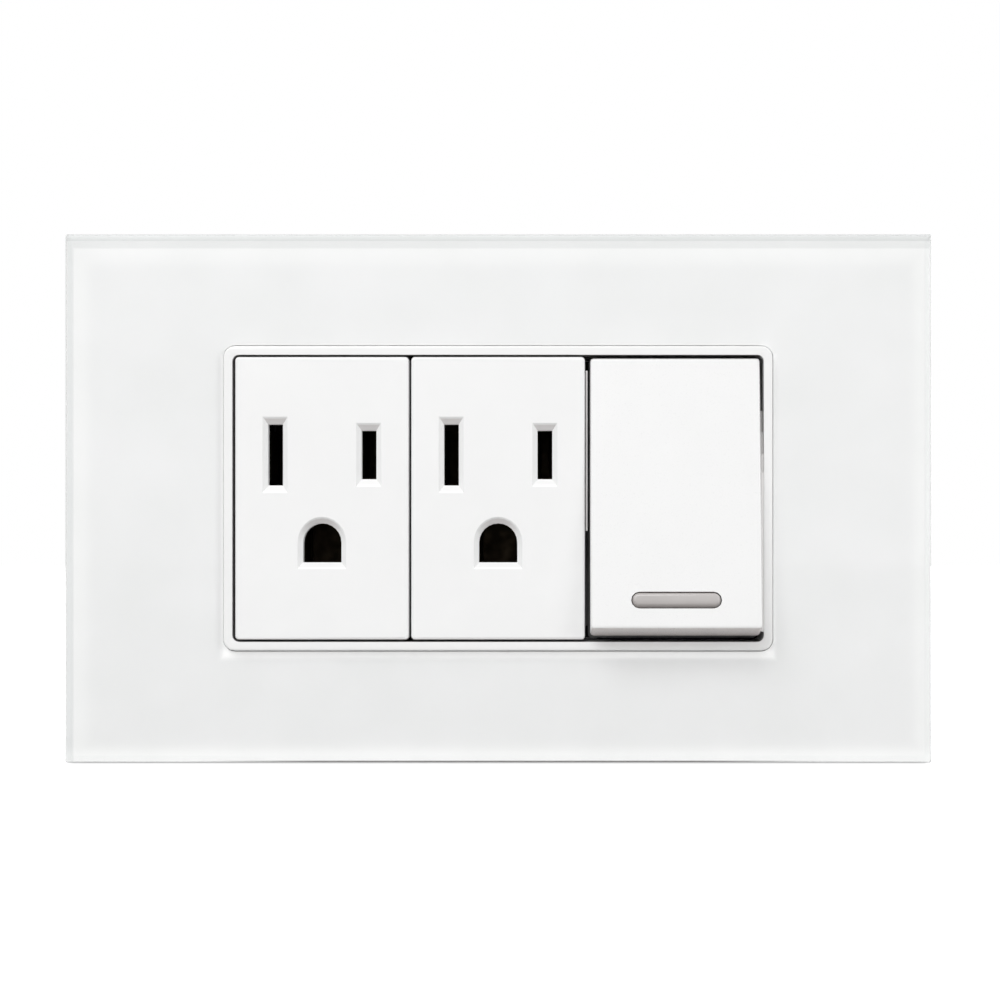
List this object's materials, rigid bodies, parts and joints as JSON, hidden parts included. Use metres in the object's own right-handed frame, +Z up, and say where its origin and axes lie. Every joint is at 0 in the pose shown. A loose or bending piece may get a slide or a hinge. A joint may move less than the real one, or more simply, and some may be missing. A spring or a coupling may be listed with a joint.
{
  "type": "switch and socket combination",
  "caption": "Wide glass wall plate with grounded power sockets and a rocker switch side by side in one framed window.",
  "frame": {"origin": "on the wall plane behind the centre of the plate", "axes": "+X to the right along the plate, +Z up, +Y into the wall, so the front looks along -Y"},
  "size_m": [0.118, 0.0369, 0.072],
  "materials": {
    "glass": "polished clear glass with white paint on its back",
    "white_plastic": "satin white moulding",
    "black_plastic": "matt black moulding",
    "grey_plastic": "matt grey moulding",
    "lens": "clear grey lens",
    "tape": "foam tape",
    "brass": "stamped strip",
    "steel": "zinc plated",
    "board": "circuit board"
  },
  "bodies": {
    "base": {"glass_panel": "glass", "bonding_tape": "tape", "plate_carrier": "white_plastic", "support_frame": "black_plastic", "box_screw_left": "steel", "box_screw_right": "steel", "left_socket_face": "white_plastic", "left_socket_body": "black_plastic", "left_socket_back_cover": "grey_plastic", "left_socket_neutral_contact": "brass", "left_socket_neutral_clamp": "steel", "left_socket_neutral_screw": "steel", "left_socket_live_contact": "brass", "left_socket_live_clamp": "steel", "left_socket_live_screw": "steel", "left_socket_ground_contact": "brass", "left_socket_ground_clamp": "steel", "left_socket_ground_screw": "steel", "middle_socket_face": "white_plastic", "middle_socket_body": "black_plastic", "middle_socket_back_cover": "grey_plastic", "middle_socket_neutral_contact": "brass", "middle_socket_neutral_clamp": "steel", "middle_socket_neutral_screw": "steel", "middle_socket_live_contact": "brass", "middle_socket_live_clamp": "steel", "middle_socket_live_screw": "steel", "middle_socket_ground_contact": "brass", "middle_socket_ground_clamp": "steel", "middle_socket_ground_screw": "steel", "switch_cradle": "grey_plastic", "indicator_lamp": "lens", "indicator_board": "board", "common_terminal": "brass", "upper_terminal": "brass", "lower_terminal": "brass", "switch_housing": "black_plastic", "switch_back_cover": "grey_plastic", "switch_common_clamp": "steel", "switch_common_screw": "steel", "switch_upper_clamp": "steel", "switch_upper_screw": "steel", "switch_lower_clamp": "steel", "switch_lower_screw": "steel"},
    "rocker": {"rocker_key": "white_plastic", "rocker_lens": "lens", "rocker_driver": "black_plastic", "plunger_spring": "steel"},
    "plunger_body": {"plunger": "steel"},
    "seesaw": {"moving_contact": "brass"}
  },
  "joints": [
    {"name": "rocker_hinge", "type": "hinge", "parent": "base", "child": "rocker", "pos_m": [0.02405, -0.0068, 0], "axis": [1, 0, 0], "range_deg": [0, 14]},
    {"name": "seesaw_hinge", "type": "hinge", "parent": "base", "child": "seesaw", "pos_m": [0.02405, 0.004, 0], "axis": [1, 0, 0], "range_deg": [-14, 0]},
    {"name": "plunger_slide", "type": "slide", "parent": "rocker", "child": "plunger_body", "axis": [0, -0.9925, 0.1219], "range_m": [0, 0.0008], "stiffness_N_per_m": 300, "springref_m": -0.002, "deforming": ["plunger_spring"]}
  ],
  "couplings": [
    {"joint": "seesaw_hinge", "follows": "rocker_hinge", "ratio": -1}
  ]
}
